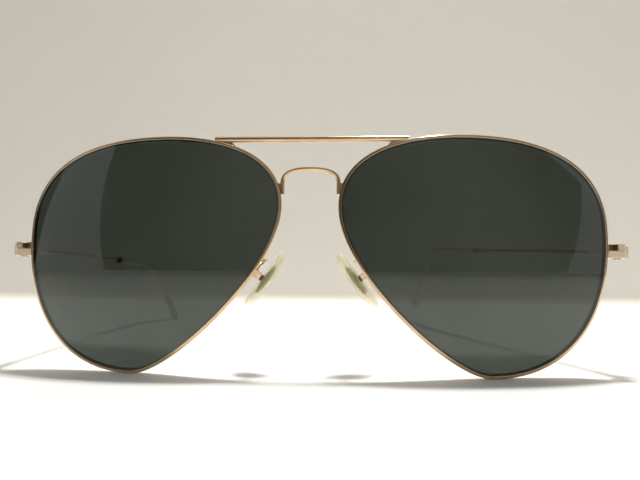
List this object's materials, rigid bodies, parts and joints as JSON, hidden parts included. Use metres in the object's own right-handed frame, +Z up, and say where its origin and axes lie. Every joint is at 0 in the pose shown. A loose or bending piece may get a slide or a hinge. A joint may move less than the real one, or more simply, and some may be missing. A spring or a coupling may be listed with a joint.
{
  "type": "aviator sunglasses",
  "caption": "Metal aviator sunglasses: wire rims, brow bar, arched bridge, dark glass lenses, rocking nose pads and folding wire temples with plastic tips",
  "frame": {"origin": "on the standing surface, under the middle of the bridge, level with the front of the lenses", "axes": "+X towards the wearer's left, +Y back along the temples towards the ears, +Z up; millimetres in the source, metres in the row"},
  "size_m": [0.1556, 0.1453, 0.0552],
  "materials": {
    "gold_wire": "polished gold-coloured plating",
    "lens_glass": "dark grey-green glass, polished",
    "pad_silicone": "clear, slightly yellow, smooth",
    "tip_plastic": "clear, slightly yellow, over the metal core",
    "screw_steel": "small machine screws, bright"
  },
  "bodies": {
    "front": {"rim_right": "gold_wire", "rim_left": "gold_wire", "lens_right": "lens_glass", "lens_left": "lens_glass", "brow_bar": "gold_wire", "bridge": "gold_wire", "lock_upper_right": "gold_wire", "lock_upper_left": "gold_wire", "lock_lower_right": "gold_wire", "lock_lower_left": "gold_wire", "lock_screw_right": "screw_steel", "lock_screw_left": "screw_steel", "front_hinge_right": "gold_wire", "front_hinge_left": "gold_wire", "hinge_screw_right": "screw_steel", "hinge_screw_left": "screw_steel", "pad_arm_right": "gold_wire", "pad_arm_left": "gold_wire", "pad_box_right": "gold_wire", "pad_box_left": "gold_wire", "pad_screw_right": "screw_steel", "pad_screw_left": "screw_steel"},
    "temple_right": {"temple_hinge_right": "gold_wire", "temple_wire_right": "gold_wire", "temple_collar_right": "gold_wire", "temple_tip_right": "tip_plastic"},
    "temple_left": {"temple_hinge_left": "gold_wire", "temple_wire_left": "gold_wire", "temple_collar_left": "gold_wire", "temple_tip_left": "tip_plastic"},
    "pad_right": {"nose_pad_right": "pad_silicone", "pad_insert_right": "screw_steel"},
    "pad_left": {"nose_pad_left": "pad_silicone", "pad_insert_left": "screw_steel"}
  },
  "joints": [
    {"name": "temple_fold_left", "type": "hinge", "parent": "front", "child": "temple_left", "pos_m": [0.07059, 0.01482, 0.02842], "axis": [0, 0.0471, 0.9989], "range_deg": [-21.3, 65.7]},
    {"name": "temple_fold_right", "type": "hinge", "parent": "front", "child": "temple_right", "pos_m": [-0.07059, 0.01482, 0.02842], "axis": [0, -0.0471, -0.9989], "range_deg": [-1, 93]},
    {"name": "pad_rock_left", "type": "hinge", "parent": "front", "child": "pad_left", "pos_m": [0.01242, 0.00797, 0.02257], "axis": [0.1682, 0.9828, 0.076], "range_deg": [-10, 10]},
    {"name": "pad_rock_right", "type": "hinge", "parent": "front", "child": "pad_right", "pos_m": [-0.01242, 0.00797, 0.02257], "axis": [-0.1682, 0.9828, 0.076], "range_deg": [-10, 10]}
  ]
}
